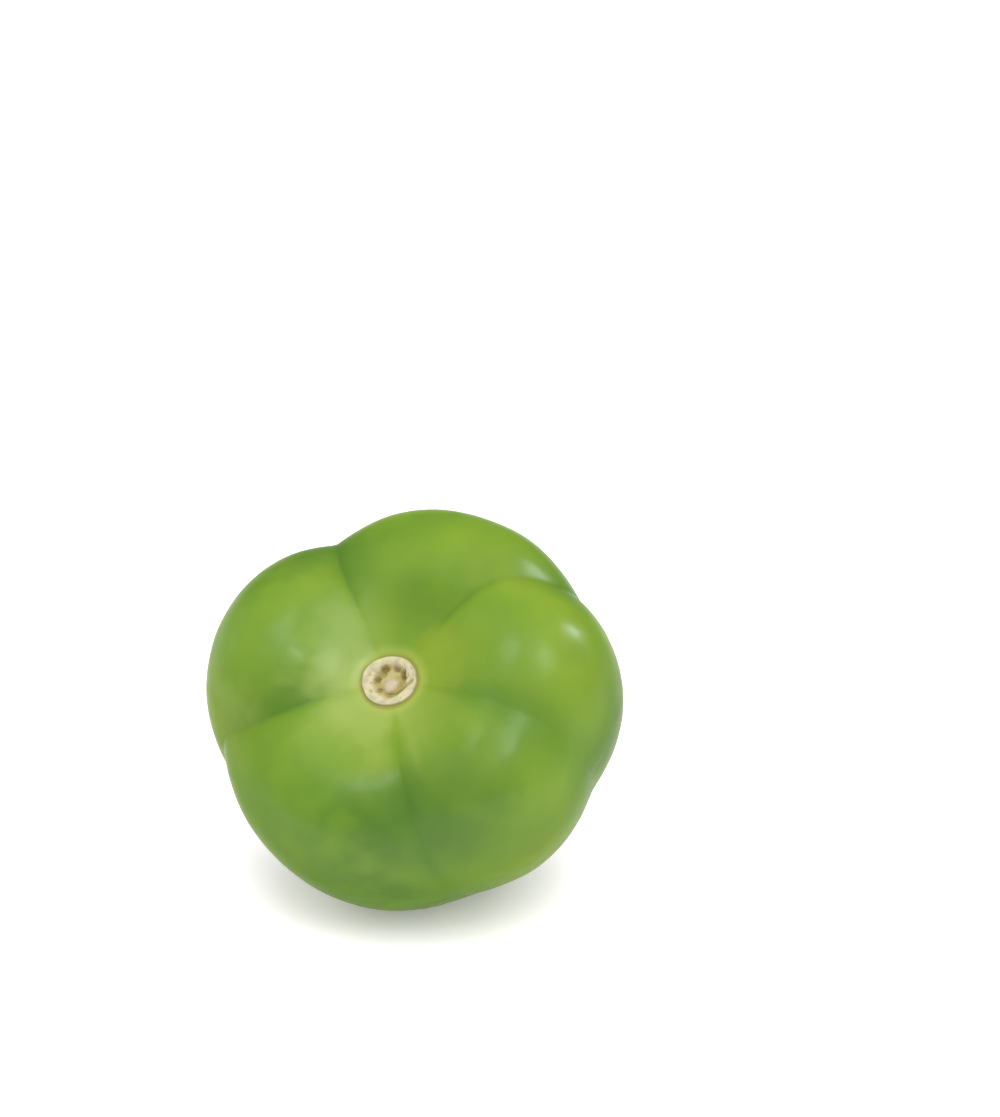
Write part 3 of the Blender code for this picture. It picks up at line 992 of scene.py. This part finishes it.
def make_camera():
    """The camera at the photograph's viewing angle. Gives its own axes: right, up and back."""
    azimuth, elevation = CAMERA_AZIMUTH, CAMERA_ELEVATION
    right = Vector((math.cos(azimuth), math.sin(azimuth), 0.0))
    level = math.cos(elevation)
    back = Vector((math.sin(azimuth) * level, -math.cos(azimuth) * level, math.sin(elevation)))
    up = back.cross(right)
    target = CENTRE.copy()
    target += right * ((PHOTO_WIDTH / 2 - FRUIT_PIXEL[0]) / PIXELS_PER_METRE)
    target += up * ((FRUIT_PIXEL[1] - PHOTO_HEIGHT / 2) / PIXELS_PER_METRE)
    camera = bpy.data.cameras.new("camera")
    camera.sensor_width = SENSOR
    camera.lens = SENSOR * CAMERA_DISTANCE * PIXELS_PER_METRE / PHOTO_HEIGHT
    placed = bpy.data.objects.new("camera", camera)
    placed.location = CENTRE + back * CAMERA_DISTANCE
    placed.rotation_euler = (target - placed.location).to_track_quat("-Z", "Y").to_euler()
    bpy.context.scene.collection.objects.link(placed)
    bpy.context.scene.camera = placed
    return right, up, back


def hang_light(light, view):
    right, up, back = view
    aim = (right * light.direction[0] + up * light.direction[1] + back * light.direction[2]).normalized()
    area = bpy.data.lights.new(light.name, "AREA")
    area.shape = "RECTANGLE"
    area.size, area.size_y = light.size
    area.energy = light.watts
    placed = bpy.data.objects.new(light.name, area)
    placed.location = CENTRE + aim * light.distance
    placed.rotation_euler = (-aim).to_track_quat("-Z", "Y").to_euler()
    if light.name.endswith("panel"):
        placed.visible_glossy = False
    else:
        placed.visible_diffuse = False
        area.color = LAMP_TINT
    bpy.context.scene.collection.objects.link(placed)


def make_studio(view):
    world = bpy.data.worlds.new("white studio")
    world.use_nodes = True
    background = world.node_tree.nodes["Background"]
    background.inputs["Color"].default_value = WHITE
    background.inputs["Strength"].default_value = ROOM_LIGHT
    bpy.context.scene.world = world
    for light in LIGHTS:
        hang_light(light, view)
    bpy.ops.mesh.primitive_plane_add(size=TABLE_SIZE, location=(0.0, 0.0, -TABLE_GAP))
    floor = bpy.context.object
    floor.name = "table"
    white, _, shader = start_material("white table")
    shader.inputs["Base Color"].default_value = TABLE_WHITE
    shader.inputs["Roughness"].default_value = TABLE_ROUGHNESS
    shader.inputs["Emission Color"].default_value = WHITE
    shader.inputs["Emission Strength"].default_value = TABLE_GLOW
    floor.data.materials.append(white)


turned_body = make_turned_body()
set_down = make_set_down()
disc = make_disc()
mottling = make_mottling()
specks = make_specks()

skin_tree = make_skin(make_lobe(turned_body), set_down)
skin = grow("skin", skin_tree, skin_material(mottling, specks, make_painted_patch()))
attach(skin, "root")
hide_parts("tomatillo")

scar = grow("stem_scar", make_scar(disc, turned_body, set_down), cork_material(mottling, specks))
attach(scar, "root")

mark = grow("blossom_mark", make_blossom_mark(disc, turned_body, set_down), mark_material(mottling))
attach(mark, "root")

make_studio(make_camera())
bpy.context.scene.view_settings.view_transform = "Standard"
